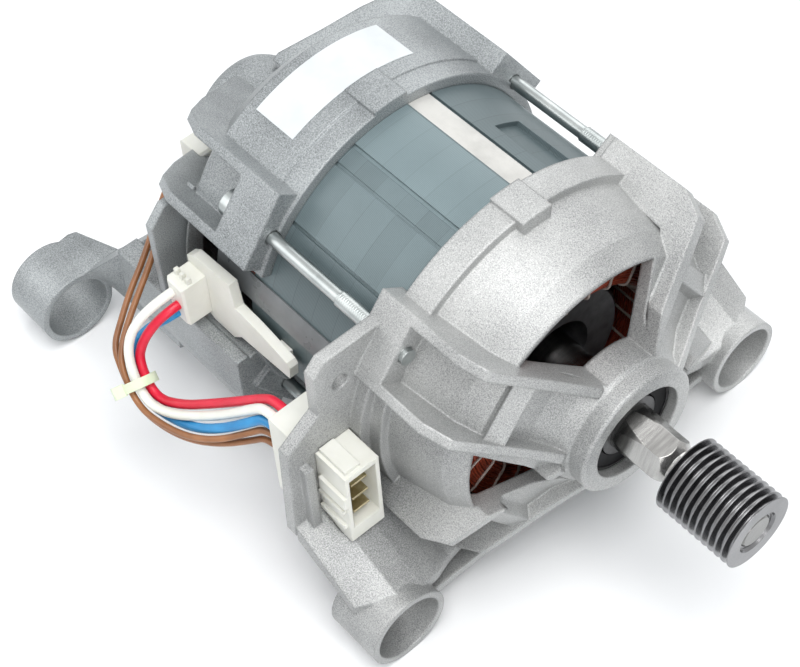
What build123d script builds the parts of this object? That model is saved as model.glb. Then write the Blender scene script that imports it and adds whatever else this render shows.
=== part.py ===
from build123d import *
import os
from math import cos, pi, radians, sin, tan

os.makedirs("parts", exist_ok=True)

# Belt-drive motor of a washing machine, in millimetres.
# X runs along the shaft, positive towards the belt pulley, and the origin is the pulley's middle.
# Z is up when the motor stands on its three mounting eyes; Y completes the frame.
# Places along the shaft are named ..._x and are measured from the origin.

# Belt pulley and the shaft end
pulley_groove_pitch = 2.34
pulley_grooves = 11
pulley_crest_radius = 11.85
pulley_groove_depth = 2.0
pulley_crest_width = 0.5
pulley_root_width = 0.45
pulley_recess_radius = 6.9
pulley_recess_depth = 0.9
neck_radius = 5.4
neck_start_x = -15.9
seat_start_x = -18.9
shaft_tip_chamfer = 0.6
wrench_flat_width = 13.0
wrench_flat_back_x = -36.0
wrench_flat_full_x = -24.5
wrench_flat_turn = 40.0
wrench_flats = 6
bolt_socket_sides = 6

# Shaft journals
seat_radius = 7.5
core_seat_radius = 8.6
rear_seat_radius = 6.0
tacho_seat_radius = 4.0

# Front bearing, 15 x 35 x 11
front_bearing_outer_radius = 17.5
front_bearing_width = 11.0
front_ball_radius = 2.95
front_ball_count = 8

# Rear bearing, 12 x 32 x 10
rear_bearing_outer_radius = 16.0
rear_bearing_width = 10.0
rear_ball_radius = 2.95
rear_ball_count = 7

race_wall = 2.6
groove_clearance = 0.12
seal_thickness = 0.8
seal_gap = 0.35
cage_thickness = 1.6

# Laminated stator
stack_rear_x = -136.0
stack_front_x = -80.0
stack_radius = 52.4
stator_bore_radius = 28.9
slot_count = 24
slot_inner_radius = 30.0
slot_outer_radius = 43.0
slot_inner_width = 4.2
slot_outer_width = 7.4
slot_mouth_width = 2.4
stack_groove_depth = 0.9
stack_groove_width = 1.1
stack_step_depth = 0.7
stack_recess_depth = 1.6
stack_recess_rear_x = -109.5

# Rotor
rotor_radius = 28.4
rotor_ring_radius = 26.4
rotor_ring_inner_radius = 14.0
rotor_ring_front_x = -65.0
rotor_ring_rear_x = -152.0
rotor_bar_count = 30
rotor_bar_radius = 1.7
rotor_bar_circle = 25.4
rotor_corner = 2.5

# End windings
crown_outer_radius = 44.0
crown_inner_radius = 30.6
crown_front_x = -57.0
crown_seat_gap = 1.4
crown_rear_x = -152.0
bundle_radius = 1.0
bundle_pitch = 2.55
lacing_radius = 0.35
lacing_count = 12

# Tie bolts
bolt_circle_radius = 56.8
bolt_angles = (142.5, 33.5, 213.5, 322.5)
bolt_thread_radius = 2.5
bolt_shank_radius = 2.1
bolt_head_radius = 4.6
bolt_head_height = 3.4
bolt_socket_radius = 2.2
bolt_socket_depth = 1.8
bolt_thread_start_x = -101.0
bolt_tip_x = -73.6
bolt_clearance = 0.2

# Front end shield
shield_wall = 3.2
lip_radius = 56.0
lip_rear_x = -85.0
lip_front_x = -75.2
spigot_clearance = 0.05
stack_shoulder_radius = 49.6
bell_back_radius = 53.2
bell_front_radius = 49.8
bell_shoulder_x = -57.0
front_wall_outer_radius = 45.7
front_wall_x = -50.2
hub_radius = 21.1
hub_mouth_radius = 15.75
hub_face_x = -31.2
hub_mouth_depth = 3.4
hub_root_x = -37.0
cone_middle_x = -45.2
cone_middle_radius = 30.0
cone_end_x = -41.2
cone_end_radius = 24.0
hub_chamfer = 0.8
front_opening_inner_radius = 21.6
boss_rear_x = -46.7
boss_rim = 0.6
ridge_from_angle = 154.0
ridge_to_angle = 186.0
ridge_inner_radius = 55.0
ridge_outer_radius = 59.4
ridge_front_x = -79.6
lower_opening_inner_radius = 22.5
lower_opening_floor_z = -13.4
opening_side_y = 8.5
opening_side_z = 14.6
opening_side_angle = 60.0
lower_opening_margin = 2.2
lower_opening_taper = 7.0
lip_block_radius = 57.4
lip_block_extra = 3.0
lip_block_from_angle = 84.5
lip_block_to_angle = 95.0

# Ribs that carry the tie bolts, alike on both shields
rib_half_width = 12.6
rib_flange = 3.2
rib_wide_flange = 5.4
rib_radius = 61.0
rib_shoulder_x = -58.0
rib_nose_radius = 57.0
rib_nose_x = -50.0
rib_turn_radius = 48.0
rib_turn_x = -46.8
rib_foot_radius = 35.0
rib_foot_x = -42.6
rib_toe_x = -37.0
ear_rear_x = -88.0
ear_front_x = -75.0
cross_rib_radius = 43.5
cross_rib_thickness = 2.0

# Mounting eyes
eye_radius = 13.4
eye_bore_radius = 11.3
eye_length = 18.8
front_eye_x = -50.0
eye_y = 70.4
eye_z = -49.0
rear_eye_x = -212.0
rear_eye_y = -72.0

# Connector plate and the beam that joins the front eyes
plate_thickness = 4.0
plate_corner = 4.0
plate_top_z = 40.3
plate_ear_y = -69.0
plate_step_z = 20.2
plate_side_y = -80.6
plate_side_top_z = 12.0
plate_foot_y = -82.0
plate_foot_z = -26.0
plate_inner_y = -30.0
plate_hole_y = -60.6
plate_hole_z = 28.1
plate_hole_radius = 2.7
plate_stiffener_width = 3.0
plate_stiffener_height = 3.0
plate_stiffener_top_z = 4.0
beam_bend_z = -22.0
web_edge = [
    (81.6, -60.5, -37.4), (70.4, -53.4, -36.2), (62.0, -53.0, -38.6),
    (55.0, -54.6, -41.2), (48.0, -57.6, -43.6), (40.0, -59.4, -44.8),
]
web_middle = (0.0, -57.0, -45.6)
beam_thickness = 3.6
beam_floor_z = -54.5
beam_floor_thickness = 3.0
beam_floor_edge_x = -55.5
beam_floor_half = 62.0

# Connector that passes through the plate
plug_y_near = -71.6
plug_y_far = -59.6
plug_bottom_z = -26.0
plug_top_z = 5.2
plug_front_x = -71.5
plug_rear_x = -99.0
plug_rear_y_near = -75.6
plug_rear_y_far = -61.4
plug_rear_top_z = 10.0
plug_rear_bottom_z = -24.0
plug_wall = 1.3
plug_pocket_depth = 11.0
plug_clearance = 0.2
plug_latch_width = 5.0
plug_latch_rise = 1.2
plug_lug_rise = 1.3
plug_lug_rear_x = -83.8
plug_lug_near_y = -70.4
plug_lug_far_y = -65.2
plug_rib_levels = (-12.4, -19.8)
plug_rib_height = 1.6
plug_rib_rear_x = -83.4
plug_bridge_height = 2.0
contact_width = 5.6
contact_thickness = 0.8
contact_reach = 9.0

# Rear end shield
rear_lip_front_x = -130.0
rear_lip_back_x = -137.4
rear_shell_radius = 56.5
rear_shell_back_x = -163.0
rear_corner_x = -171.5
rear_corner_radius = 47.0
rear_wall_x = -178.0
rear_wall_radius = 30.0
rear_hub_radius = 19.0
rear_hub_root_x = -184.0
rear_hub_end_x = -207.3
rear_hub_corner = 2.5
rear_seat_front_x = -177.0
rear_rib_radius = 62.0
rear_rib_shoulder_x = -167.0
rear_rib_nose_radius = 57.4
rear_rib_nose_x = -176.0
rear_rib_turn_radius = 47.0
rear_rib_turn_x = -183.0
rear_rib_foot_radius = 34.0
rear_rib_foot_x = -190.0
rear_rib_toe_x = -198.0
rear_ear_front_x = -131.0
rear_ear_back_x = -146.0
rear_block_from_angle = 84.5
rear_block_to_angle = 96.5
skirt_back_x = -193.0
pocket_wall_x = -168.0
pocket_wall_thickness = 3.0
window_back_x = -164.5
window_inner_radius = 40.0
arm_sections = [
    (-170.0, [(-46.0, -9.0), (-60.0, -14.0), (-60.5, -40.0), (-50.0, -44.0), (-38.0, -28.0), (-36.0, -12.0)]),
    (-190.0, [(-46.0, -8.6), (-50.5, -10.0), (-60.2, -41.6), (-52.0, -46.0), (-38.0, -34.0), (-36.0, -14.0)]),
    (-212.2, [
        (-59.6, -34.0), (-66.2, -35.6), (-59.8, -45.2), (-58.2, -49.6), (-54.0, -44.0), (-53.0, -34.0),
    ]),
    (-229.6, [
        (-61.0, -35.0), (-70.0, -36.4), (-61.5, -45.0), (-59.0, -51.0), (-56.5, -47.0), (-58.0, -36.0),
    ]),
]

# Terminal header and rail on the stator's side
header_rear_x = -158.6
header_front_x = -150.6
header_near_y = -66.0
header_top_z = 10.4
header_bottom_z = -5.8
prong_width = 1.4
prong_height = 2.2
prong_places = (-157.2, -154.6, -152.0)
rail_far_y = -54.0
rail_near_y = -57.2
film_thickness = 0.5
film_from_angle = 160.5
film_to_angle = 170.5
film_front_x = -93.0
film_clearance = 0.05

# Tacho generator at the rear of the shaft
magnet_radius = 8.6
magnet_length = 8.0
magnet_rear_x = -204.0
coil_inner_radius = 10.2
coil_clearance = 0.1
tacho_lid_thickness = 1.6
tacho_plug_near_y = -31.0
tacho_plug_bottom_z = 2.5
tacho_plug_top_z = 13.5
tacho_plug_front_x = -187.0
tacho_plug_rear_x = -197.0
washer_thickness = 1.1
rear_front_gap = 0.6

# Type plate
label_thickness = 0.2
label_rear_x = -159.5
label_front_x = -143.2
label_from_angle = 70.0
label_to_angle = 117.0

# Wires
power_wire_diameter = 3.0
tacho_wire_diameter = 2.0
tie_inner_radius = 4.9
tie_thickness = 0.8
tie_width = 3.0
tie_head_size = 3.8
tie_place = (-153.9, -84.5, -20.0)
tie_direction = (0.77, -0.17, -0.61)

stack_groove_angles = (74.5, 106.2, 113.8, 136.5)
stack_step_from_angle = 106.2
stack_step_to_angle = 113.8
stack_recess_from_angle = 56.4
stack_recess_to_angle = 68.0
liner_clearance = 0.05
liner_thickness = 0.25
bundle_seat_gap = 0.12
crown_corner = 2.6
lacing_gap = 0.15
lacing_bend = 1.6
rear_floor_radius = 12.5
rear_floor_thickness = 2.2
shaft_rear_x = -204.8
shaft_tip_inset = 0.4
plug_edge = 0.8
plug_foot = 6.0
plug_latch_z = -6.0
contact_levels = (-3.0, -9.5, -16.0)
contact_middle_y = -65.6
contact_root = 3.0
rib_shift = 1.5
rear_eye_z = -48.0
skirt_front_x = -133.0
skirt_outline = [
    (-55.0, -10.5), (-62.5, -10.5), (-62.5, -28.0), (-60.0, -38.0), (-50.0, -42.0), (-44.0, -33.0),
]
pocket_wall_outline = [(-45.0, 26.0), (-56.5, 26.0), (-62.0, 20.0), (-62.0, -10.5), (-45.0, -10.5)]
window_from_angle = 156.0
window_to_angle = 191.5
rail_outline = [
    (-159.0, -4.0), (-159.0, 13.0), (-155.6, 15.6), (-138.6, 16.8), (-137.2, 7.2), (-128.0, 6.4),
    (-114.4, 3.4), (-113.2, 1.7), (-113.8, -3.4), (-136.5, -5.4), (-140.5, -9.2), (-150.0, -9.2),
]
rail_foot_places = (-143.0, -120.0)
rail_foot_size = 5.0
terminal_pin_levels = (-2.4, 2.2, 6.8)
terminal_pin_x = -154.6
terminal_pin_width = 4.0
terminal_pin_thickness = 0.8
terminal_pin_tip_y = -63.0
pin_clearance = 0.1
film_rear_x = -152.0
cage_side = 0.45
tie_side = (-0.22, -0.98, 0.0)
wire_routes = [
    ("red_wire", [
        (-154.2, -66.0, 1.4), (-154.2, -69.6, 1.4), (-156.4, -74.6, -3.2), (-157.8, -78.8, -9.2),
        (-157.6, -81.3, -15.8), (-148.4, -83.4, -23.1), (-138.0, -80.6, -19.0), (-126.3, -75.4, -11.0),
        (-116.5, -72.2, -2.8), (-108.7, -70.3, 4.4), (-104.0, -69.6, 8.0), (-99.0, -69.6, 8.0),
    ], power_wire_diameter),
    ("white_wire", [
        (-156.2, -66.0, 5.6), (-156.2, -70.6, 5.6), (-158.6, -77.6, 0.4), (-159.4, -82.2, -6.4),
        (-157.5, -84.6, -14.7), (-148.2, -86.7, -22.0), (-138.4, -84.5, -20.4), (-126.6, -79.5, -14.0),
        (-116.5, -76.0, -5.4), (-108.7, -73.7, 3.0), (-104.0, -72.9, 7.0), (-99.0, -72.9, 7.0),
    ], power_wire_diameter),
    ("blue_wire", [
        (-155.4, -66.0, -2.9), (-155.4, -69.4, -2.9), (-159.4, -73.8, -6.8), (-162.0, -79.0, -12.6),
        (-159.9, -83.3, -18.1), (-150.6, -85.3, -25.4), (-139.0, -83.7, -24.4), (-127.0, -82.6, -17.6),
        (-116.7, -79.6, -9.4), (-108.8, -75.8, -1.8), (-104.0, -73.3, 2.8), (-99.0, -73.3, 2.8),
    ], power_wire_diameter),
    ("brown_wire_upper", [
        (-190.0, -31.0, 8.0), (-190.0, -35.5, 8.0), (-186.2, -43.4, 6.3), (-182.0, -51.3, 1.5),
        (-177.2, -59.5, -3.0), (-172.6, -68.0, -6.5), (-168.0, -76.0, -9.3), (-163.6, -82.7, -12.2),
        (-159.0, -86.8, -16.0), (-149.8, -88.9, -23.4), (-138.9, -88.2, -22.2), (-127.3, -86.2, -18.6),
        (-117.2, -82.6, -12.9), (-109.0, -77.2, -6.2), (-103.8, -73.8, -1.4), (-99.0, -73.8, -1.4),
    ], tacho_wire_diameter),
    ("brown_wire_lower", [
        (-193.5, -31.0, 8.0), (-193.5, -36.0, 8.0), (-189.4, -44.0, 5.0), (-185.4, -52.0, -0.6),
        (-180.5, -60.5, -5.0), (-176.0, -69.8, -9.0), (-171.2, -77.2, -12.0), (-166.6, -83.8, -14.6),
        (-160.5, -86.2, -18.1), (-151.2, -88.3, -25.4), (-139.2, -87.3, -25.4), (-127.6, -85.0, -22.0),
        (-117.4, -80.8, -17.0), (-109.0, -76.4, -10.6), (-103.8, -73.9, -6.0), (-99.0, -73.9, -6.0),
    ], tacho_wire_diameter),
]

# Sizes worked out from those above
rear_floor_x = rear_seat_front_x - rear_front_gap - rear_bearing_width - washer_thickness
coil_front_x = rear_floor_x - rear_floor_thickness
coil_rear_x = rear_hub_end_x + tacho_lid_thickness
pulley_length = pulley_grooves * pulley_groove_pitch
pulley_front_x = pulley_length / 2
pulley_rear_x = -pulley_length / 2
front_bearing_front_x = hub_face_x - hub_mouth_depth
front_bearing_rear_x = front_bearing_front_x - front_bearing_width
rear_bearing_front_x = rear_seat_front_x - rear_front_gap
rear_bearing_rear_x = rear_bearing_front_x - rear_bearing_width
spigot_radius = stack_radius + spigot_clearance
cut_over = lip_radius / 10
quarter_turn = 360 / 4


def lathe(points):
    """Half profile of (x, radius) points, ready to be revolved about the shaft line."""
    with BuildSketch(Plane.XZ) as profile:
        with BuildLine():
            Polyline(*points, close=True)
        make_face()
    return profile.sketch


def turned(points):
    with BuildPart() as body:
        revolve(lathe(points), axis=Axis.X)
    return body.part


def tube_part(front_x, rear_x, outer_radius, inner_radius):
    return turned([
        (rear_x, inner_radius),
        (front_x, inner_radius),
        (front_x, outer_radius),
        (rear_x, outer_radius),
    ])


def radial_plane(angle, offset=0.0):
    """Plane that holds the shaft direction and the radius at this angle, moved sideways by offset."""
    side = Vector(0, -sin(radians(angle)), cos(radians(angle)))
    return Plane(origin=side * offset, x_dir=(1, 0, 0), z_dir=side)


def radial_slab(points, angle, offset, thickness):
    """Plate of (x, radius) outline at an angle about the shaft, from offset to offset + thickness."""
    with BuildSketch(radial_plane(angle, offset)) as outline:
        with BuildLine():
            Polyline(*points, close=True)
        make_face()
    with BuildPart() as slab:
        extrude(outline.sketch, amount=thickness)
    return slab.part


def cross_slab(points, x_place, thickness):
    """Plate of (y, z) outline square to the shaft, from x_place forward by thickness."""
    with BuildSketch(Plane.YZ.offset(x_place)) as outline:
        with BuildLine():
            Polyline(*points, close=True)
        make_face()
    with BuildPart() as slab:
        extrude(outline.sketch, amount=thickness)
    return slab.part


def block(x_from, x_to, y_from, y_to, z_from, z_to):
    with BuildPart() as body:
        with Locations(((x_from + x_to) / 2, (y_from + y_to) / 2, (z_from + z_to) / 2)):
            Box(abs(x_to - x_from), abs(y_to - y_from), abs(z_to - z_from))
    return body.part


def on_circle(angle, radius, x_place=0.0):
    return Vector(x_place, radius * cos(radians(angle)), radius * sin(radians(angle)))


def rod(angle, circle, x_from, x_to, radius):
    """Round bar along the shaft direction, centred on a circle about the shaft."""
    spot = on_circle(angle, circle, x_from)
    with BuildPart() as body:
        with BuildSketch(Plane(origin=spot, x_dir=(0, 1, 0), z_dir=(1, 0, 0))):
            Circle(radius)
        extrude(amount=x_to - x_from)
    return body.part


def arc_sector(angle_from, angle_to, inner_radius, outer_radius, x_from, x_to):
    """Piece of a ring between two angles about the shaft."""
    with BuildPart() as body:
        with BuildSketch(Plane.XZ) as profile:
            with BuildLine():
                Polyline(
                    (x_from, inner_radius),
                    (x_to, inner_radius),
                    (x_to, outer_radius),
                    (x_from, outer_radius),
                    close=True,
                )
            make_face()
        revolve(axis=Axis.X, revolution_arc=angle_to - angle_from)
    return Rot(angle_from, 0, 0) * Rot(-quarter_turn, 0, 0) * body.part


def save(part, name):
    part.label = name
    export_step(part, f"parts/{name}.step")
    print(name, round(part.volume, 1))


# Front end shield: one die-cast aluminium piece
bell_inner = [
    (lip_rear_x - cut_over, 0),
    (lip_rear_x - cut_over, spigot_radius),
    (stack_front_x, spigot_radius),
    (stack_front_x, stack_shoulder_radius),
    (bell_shoulder_x, bell_front_radius - shield_wall),
    (front_wall_x - shield_wall, front_wall_outer_radius - shield_wall),
    (boss_rear_x - boss_rim, hub_radius + boss_rim),
    (boss_rear_x, hub_radius - boss_rim),
    (boss_rear_x, front_bearing_outer_radius),
    (front_bearing_front_x, front_bearing_outer_radius),
    (front_bearing_front_x, hub_mouth_radius),
    (hub_face_x + cut_over, hub_mouth_radius),
    (hub_face_x + cut_over, 0),
]
bell_outer = [
    (lip_rear_x, 0),
    (lip_rear_x, lip_radius),
    (lip_front_x, lip_radius),
    (lip_front_x, bell_back_radius),
    (bell_shoulder_x, bell_front_radius),
    (front_wall_x, front_wall_outer_radius),
    (cone_middle_x, cone_middle_radius),
    (cone_end_x, cone_end_radius),
    (hub_root_x, hub_radius),
    (hub_face_x - hub_chamfer, hub_radius),
    (hub_face_x, hub_radius - hub_chamfer),
    (hub_face_x, 0),
]
rib_outline = [
    (lip_rear_x, rib_radius),
    (rib_shoulder_x, rib_radius),
    (rib_nose_x, rib_nose_radius),
    (rib_turn_x, rib_turn_radius),
    (rib_foot_x, rib_foot_radius),
    (rib_toe_x, hub_radius - hub_chamfer),
    (rib_toe_x - shield_wall, hub_radius - shield_wall),
    (front_wall_x - shield_wall / 2, front_wall_outer_radius - shield_wall),
    (bell_shoulder_x, bell_front_radius - shield_wall / 2),
    (lip_rear_x, bell_back_radius - shield_wall / 2),
]
eye_places = [(-eye_y, eye_z), (eye_y, eye_z)]


def beam_section(side_y, edge_x, edge_z, root_z=beam_bend_z):
    """Slanted web's cross-section at one place across the motor, from the plate down to its free edge."""
    back_x = ear_rear_x + plate_thickness
    with BuildSketch(Plane.XZ.offset(-side_y)) as section:
        with BuildLine():
            Polyline(
                (back_x, root_z),
                (edge_x, edge_z),
                (edge_x, edge_z - beam_thickness),
                (back_x, root_z - beam_thickness - shield_wall),
                close=True,
            )
        make_face()
    return section.sketch


def along(angle, offset, reach):
    """Point of (y, z) at a distance out along a rib's direction, moved sideways from it."""
    return (
        reach * cos(radians(angle)) - offset * sin(radians(angle)),
        reach * sin(radians(angle)) + offset * cos(radians(angle)),
    )


left_rib, right_rib = bolt_angles[0], bolt_angles[1]
far = 2 * lip_radius
opening_slope = radians(opening_side_angle)
near = lower_opening_margin
below = rib_half_width + lower_opening_margin
front_openings = [
    [
        along(left_rib, -rib_half_width, near),
        along(left_rib, -rib_half_width, far),
        (0, far),
        (opening_side_y + far * cos(opening_slope), opening_side_z + far * sin(opening_slope)),
        (opening_side_y, opening_side_z),
    ],
    [
        (0, lower_opening_floor_z),
        along(left_rib, below + lower_opening_taper, near),
        along(left_rib, below, lip_radius),
        along(left_rib, below, far),
        (-far, lower_opening_floor_z),
    ],
    [
        (0, lower_opening_floor_z),
        along(right_rib, -below - lower_opening_taper, near),
        along(right_rib, -below, lip_radius),
        along(right_rib, -below, far),
        (far, lower_opening_floor_z),
    ],
]

with BuildPart() as front_shield:
    revolve(lathe(bell_outer), axis=Axis.X)
    # Each rib is a channel of two flanges, closed behind by the ear that takes the bolt's thread.
    for index, angle in enumerate(bolt_angles):
        near_flange = rib_wide_flange if index == 1 else rib_flange
        add(radial_slab(rib_outline, angle, rib_half_width - rib_flange, near_flange))
        add(radial_slab(rib_outline, angle, -rib_half_width, rib_flange))
        ear_outline = [
            (ear_rear_x, spigot_radius + bolt_clearance),
            (ear_rear_x, rib_radius),
            (ear_front_x, rib_radius),
            (ear_front_x, spigot_radius + bolt_clearance),
        ]
        add(radial_slab(ear_outline, angle, -rib_half_width, 2 * rib_half_width))
        cross_outline = [
            (front_wall_x, cross_rib_radius),
            (rib_turn_x - rib_flange / 2, cross_rib_radius + cross_rib_thickness),
            (rib_foot_x - cross_rib_thickness, cross_rib_radius - rib_flange),
            (front_wall_x + cross_rib_thickness, cross_rib_radius - 2 * rib_flange),
        ]
        add(radial_slab(cross_outline, angle, -rib_half_width, 2 * rib_half_width))
    # Raised block on the lip, on top of the motor
    add(arc_sector(lip_block_from_angle, lip_block_to_angle, bell_front_radius, lip_block_radius,
                   lip_rear_x, lip_front_x + lip_block_extra))
    # Flat plate at the connector side
    plate_outline = [
        (plate_inner_y, plate_top_z),
        (plate_ear_y + plate_corner, plate_top_z),
        (plate_ear_y, plate_top_z - plate_corner),
        (plate_ear_y, plate_step_z),
        (plate_side_y, plate_side_top_z),
        (plate_foot_y, plate_foot_z),
        (plate_foot_y + plate_corner, plate_foot_z - plate_corner),
        (-beam_floor_half, beam_floor_z),
        (beam_floor_half, beam_floor_z),
        (-plate_foot_y - plate_corner, plate_foot_z - plate_corner),
        (-plate_foot_y, plate_foot_z),
        (beam_floor_half, beam_bend_z / 2),
        (plate_inner_y, beam_bend_z / 2),
    ]
    add(cross_slab(plate_outline, ear_rear_x, plate_thickness))
    add(block(ear_rear_x, ear_rear_x + plate_thickness + plate_stiffener_height,
              plate_side_y + plate_stiffener_width, plate_side_y + 2 * plate_stiffener_width,
              plate_foot_z - plate_corner, plate_stiffener_top_z))
    # Slanted web down to the eyes and the floor flange below it, which leave a channel open to the front
    web_places = [(-y, x, z) for y, x, z in web_edge] + [web_middle]
    web_places += [(y, x, z) for y, x, z in reversed(web_edge)]
    loft([beam_section(*place) for place in web_places], ruled=True)
    add(block(ear_rear_x, beam_floor_edge_x, -beam_floor_half, beam_floor_half,
              beam_floor_z, beam_floor_z + beam_floor_thickness))
    # Eyes, parallel to the shaft
    for place_y, place_z in eye_places:
        with BuildSketch(Plane.YZ.offset(front_eye_x - eye_length)):
            with Locations((place_y, place_z)):
                Circle(eye_radius)
        extrude(amount=eye_length)
    # Hollow of the bell, clear of the stack behind the lip, and the bearing seat
    revolve(lathe(bell_inner), axis=Axis.X, mode=Mode.SUBTRACT)
    for place_y, place_z in eye_places:
        with BuildSketch(Plane.YZ.offset(front_eye_x - eye_length - cut_over)):
            with Locations((place_y, place_z)):
                Circle(eye_bore_radius)
        extrude(amount=eye_length + 2 * cut_over, mode=Mode.SUBTRACT)
    # Curved ridge between the plate and the bell
    add(arc_sector(ridge_from_angle, ridge_to_angle, ridge_inner_radius, ridge_outer_radius,
                   ear_rear_x, ridge_front_x))
    # Openings of the front wall between the ribs
    for opening in front_openings:
        inner = front_opening_inner_radius if opening is front_openings[0] else lower_opening_inner_radius
        with BuildSketch(Plane.YZ.offset(bell_shoulder_x)) as window:
            Circle(front_wall_outer_radius)
            Circle(inner, mode=Mode.SUBTRACT)
            Polygon(*opening, align=None, mode=Mode.INTERSECT)
        extrude(window.sketch, amount=hub_face_x - bell_shoulder_x, mode=Mode.SUBTRACT)
    # Bolt holes, plate hole and the connector's slot
    for angle in bolt_angles:
        add(rod(angle, bolt_circle_radius, ear_rear_x - cut_over, ear_front_x + cut_over,
                bolt_thread_radius), mode=Mode.SUBTRACT)
    with BuildSketch(Plane.YZ.offset(ear_rear_x - cut_over)):
        with Locations((plate_hole_y, plate_hole_z)):
            Circle(plate_hole_radius)
    extrude(amount=plate_thickness + 2 * cut_over, mode=Mode.SUBTRACT)
    add(block(ear_rear_x - cut_over, plug_front_x,
              plug_y_near - plug_clearance, plug_y_far + plug_clearance,
              plug_bottom_z - plug_clearance, plug_top_z + plug_clearance), mode=Mode.SUBTRACT)
save(front_shield.part, "front_shield")
print("front shield solids", len(front_shield.part.solids()))

# Rear end shield: one die-cast aluminium piece with the third mounting eye on its arm
rear_outer = [
    (rear_lip_front_x, 0),
    (rear_lip_front_x, lip_radius),
    (rear_lip_back_x, lip_radius),
    (rear_lip_back_x, rear_shell_radius),
    (rear_shell_back_x, rear_shell_radius),
    (rear_corner_x, rear_corner_radius),
    (rear_wall_x, rear_wall_radius),
    (rear_hub_root_x, rear_hub_radius),
    (rear_hub_end_x + rear_hub_corner, rear_hub_radius),
    (rear_hub_end_x, rear_hub_radius - rear_hub_corner / 2),
    (rear_hub_end_x, 0),
]
rear_inner = [
    (rear_lip_front_x + cut_over, 0),
    (rear_lip_front_x + cut_over, spigot_radius),
    (stack_rear_x, spigot_radius),
    (stack_rear_x, stack_shoulder_radius),
    (rear_shell_back_x, stack_shoulder_radius),
    (rear_corner_x + shield_wall / 2, rear_corner_radius - shield_wall),
    (rear_wall_x + shield_wall, rear_wall_radius - shield_wall / 2),
    (rear_seat_front_x + shield_wall / 2, rear_hub_radius),
    (rear_seat_front_x, rear_bearing_outer_radius),
    (rear_floor_x, rear_bearing_outer_radius),
    (rear_floor_x, rear_floor_radius),
    (coil_front_x, rear_floor_radius),
    (coil_front_x, rear_bearing_outer_radius),
    (rear_hub_end_x - cut_over, rear_bearing_outer_radius),
    (rear_hub_end_x - cut_over, 0),
]
rear_rib_outline = [
    (rear_ear_front_x, rear_rib_radius),
    (rear_rib_shoulder_x, rear_rib_radius),
    (rear_rib_nose_x, rear_rib_nose_radius),
    (rear_rib_turn_x, rear_rib_turn_radius),
    (rear_rib_foot_x, rear_rib_foot_radius),
    (rear_rib_toe_x, rear_hub_radius + rear_hub_corner / 2),
    (rear_rib_toe_x, rear_hub_radius - shield_wall / 2),
    (rear_hub_root_x, rear_hub_radius - shield_wall / 2),
    (rear_wall_x + shield_wall / 2, rear_wall_radius),
    (rear_corner_x + shield_wall, rear_corner_radius - shield_wall / 2),
    (rear_shell_back_x, stack_shoulder_radius + shield_wall / 2),
    (rear_ear_front_x, spigot_radius + shield_wall / 2),
]
with BuildPart() as arm_core:
    for place_x, outline in arm_sections:
        with BuildSketch(Plane.YZ.offset(place_x)):
            with BuildLine():
                Polyline(*outline, close=True)
            make_face()
    loft(ruled=True)

with BuildPart() as rear_shield:
    revolve(lathe(rear_outer), axis=Axis.X)
    for index, angle in enumerate(bolt_angles):
        shift = rib_shift if index == 0 else 0
        add(radial_slab(rear_rib_outline, angle, rib_half_width - rib_flange - shift, rib_flange))
        add(radial_slab(rear_rib_outline, angle, -rib_half_width - shift, rib_flange))
        ear_outline = [
            (rear_ear_front_x, spigot_radius + bolt_clearance),
            (rear_ear_front_x, rear_rib_radius),
            (rear_ear_back_x, rear_rib_radius),
            (rear_ear_back_x, spigot_radius + bolt_clearance),
        ]
        add(radial_slab(ear_outline, angle, -rib_half_width - shift, 2 * rib_half_width))
    add(arc_sector(rear_block_from_angle, rear_block_to_angle, stack_shoulder_radius, lip_block_radius,
                   rear_ear_back_x + shield_wall, rear_lip_front_x))
    # Skirt along the near lower rib and the wall that closes the wiring pocket behind
    add(cross_slab(skirt_outline, skirt_back_x, skirt_front_x - skirt_back_x))
    add(cross_slab(pocket_wall_outline, pocket_wall_x - pocket_wall_thickness, pocket_wall_thickness))
    add(arm_core.part)
    with BuildSketch(Plane.YZ.offset(rear_eye_x - eye_length)):
        with Locations((rear_eye_y, rear_eye_z)):
            Circle(eye_radius)
    extrude(amount=eye_length)
    revolve(lathe(rear_inner), axis=Axis.X, mode=Mode.SUBTRACT)
    with BuildSketch(Plane.YZ.offset(rear_eye_x - eye_length - cut_over)):
        with Locations((rear_eye_y, rear_eye_z)):
            Circle(eye_bore_radius)
    extrude(amount=eye_length + 2 * cut_over, mode=Mode.SUBTRACT)
    # Window of the wiring pocket through the shell
    add(arc_sector(window_from_angle, window_to_angle, window_inner_radius, lip_radius + shield_wall,
                   window_back_x, rear_lip_front_x + cut_over), mode=Mode.SUBTRACT)
    # Pockets for the bolt heads, and the bolt holes
    for index, angle in enumerate(bolt_angles):
        shift = rib_shift if index == 0 else 0
        head_pocket = [
            (rear_ear_back_x, bolt_circle_radius - bolt_head_radius - bolt_clearance),
            (rear_corner_x, bolt_circle_radius - bolt_head_radius - bolt_clearance),
            (rear_corner_x, rear_rib_radius + cut_over),
            (rear_ear_back_x, rear_rib_radius + cut_over),
        ]
        pocket_width = 2 * (rib_half_width - rib_flange)
        add(radial_slab(head_pocket, angle, -pocket_width / 2 - shift, pocket_width), mode=Mode.SUBTRACT)
        add(rod(angle, bolt_circle_radius, rear_ear_back_x - cut_over, rear_ear_front_x + cut_over,
                bolt_shank_radius + bolt_clearance), mode=Mode.SUBTRACT)
    # Slot for the speed sensor's plug
    add(block(tacho_plug_rear_x - plug_clearance, tacho_plug_front_x + plug_clearance,
              tacho_plug_near_y, plug_clearance - rear_bearing_outer_radius,
              tacho_plug_bottom_z - plug_clearance, tacho_plug_top_z + plug_clearance), mode=Mode.SUBTRACT)
save(rear_shield.part, "rear_shield")
print("rear shield solids", len(rear_shield.part.solids()))

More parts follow.
